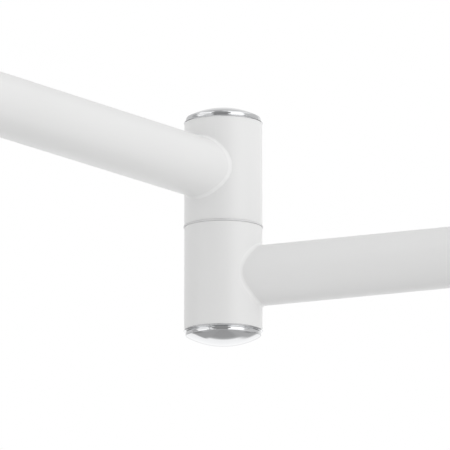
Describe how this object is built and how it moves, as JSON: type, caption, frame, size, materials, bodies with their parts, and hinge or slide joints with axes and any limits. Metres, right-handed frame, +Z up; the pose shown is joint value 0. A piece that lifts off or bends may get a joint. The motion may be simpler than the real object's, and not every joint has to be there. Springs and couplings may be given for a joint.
{
  "type": "arc floor lamp",
  "caption": "Floor lamp with a round weighted base, a pole that bends over into an arm, a stacked-barrel swivel elbow, an outer arm and a tilting dome shade.",
  "frame": {"origin": "centre of the base's underside, on the floor and on the pole's axis", "axes": "+Z up along the pole; the inner arm runs from the pole towards -X; the elbow's swivel axis is vertical at x = -0.56"},
  "size_m": [1.2124, 0.8775, 1.9694],
  "materials": {
    "white_coat": "satin powder coat",
    "chrome": "polished chrome plate",
    "steel": "zinc-plated steel",
    "iron": "rough cast, dark",
    "black_plastic": "fine moulded texture",
    "foam_pad": "matt cellular rubber",
    "flex_sheath": "matt sheath",
    "grey_washer": "smooth grey acetal",
    "nylon": "natural nylon",
    "holder_white": "moulded white plastic",
    "brass": "plain brass",
    "ceramic": "unglazed steatite",
    "opal_glass": "opal glass"
  },
  "bodies": {
    "stand": {"base_pad": "foam_pad", "base_weight": "iron", "base_cover": "white_coat", "base_access_lid": "black_plastic", "lid_pad": "foam_pad", "lid_screws": "steel", "terminal_block": "nylon", "terminal_screws": "brass", "cord_clamp": "black_plastic", "cord_clamp_screws": "steel", "cord_inlet_grommet": "black_plastic", "pole_stud": "steel", "pole_stud_washer": "steel", "pole_stud_nut": "steel", "pole_collar": "chrome", "pole_foot_plug": "steel", "lower_pole": "white_coat", "lower_coupler": "steel", "middle_pole": "white_coat", "upper_coupler": "steel", "arc_tube": "white_coat", "lower_barrel": "white_coat", "lower_cap": "chrome", "pivot_tube": "steel", "seam_washer": "grey_washer", "stop_pin": "steel", "thrust_washer": "steel", "wave_washer": "steel", "pivot_nut": "steel", "pivot_jam_nut": "steel", "stand_flex": "flex_sheath"},
    "arm": {"upper_barrel": "white_coat", "upper_cap": "chrome", "pivot_bush": "nylon", "outer_arm": "white_coat", "arm_end_plug": "chrome", "knuckle_upper": "chrome", "tilt_screw": "chrome", "tilt_washer": "steel", "arm_flex": "flex_sheath"},
    "knob": {"tilt_knob": "chrome"},
    "shade": {"knuckle_lower": "chrome", "cup_nipple": "steel", "nipple_nut": "steel", "shade_cup": "chrome", "dome_shade": "white_coat", "lampholder_cap": "holder_white", "lampholder_shell": "holder_white", "lampholder_insert": "ceramic", "screw_shell": "brass", "centre_contact": "brass", "shade_ring": "holder_white", "bulb_globe": "opal_glass", "bulb_screw_cap": "steel", "bulb_tip": "black_plastic", "shade_flex": "flex_sheath"}
  },
  "joints": [
    {"name": "elbow_swivel", "type": "hinge", "parent": "stand", "child": "arm", "pos_m": [-0.56, 0, 1.9], "axis": [0, 0, 1], "range_deg": [-211.7, 88.3]},
    {"name": "shade_tilt", "type": "hinge", "parent": "arm", "child": "shade", "pos_m": [-0.82549, -0.49307, 1.65212], "axis": [0.8805, -0.4741, 0], "range_deg": [-40, 40]},
    {"name": "tilt_knob_turn", "type": "hinge", "parent": "arm", "child": "knob", "pos_m": [-0.82549, -0.49307, 1.65212], "axis": [-0.8805, 0.4741, 0], "range_deg": [0, 360]}
  ]
}
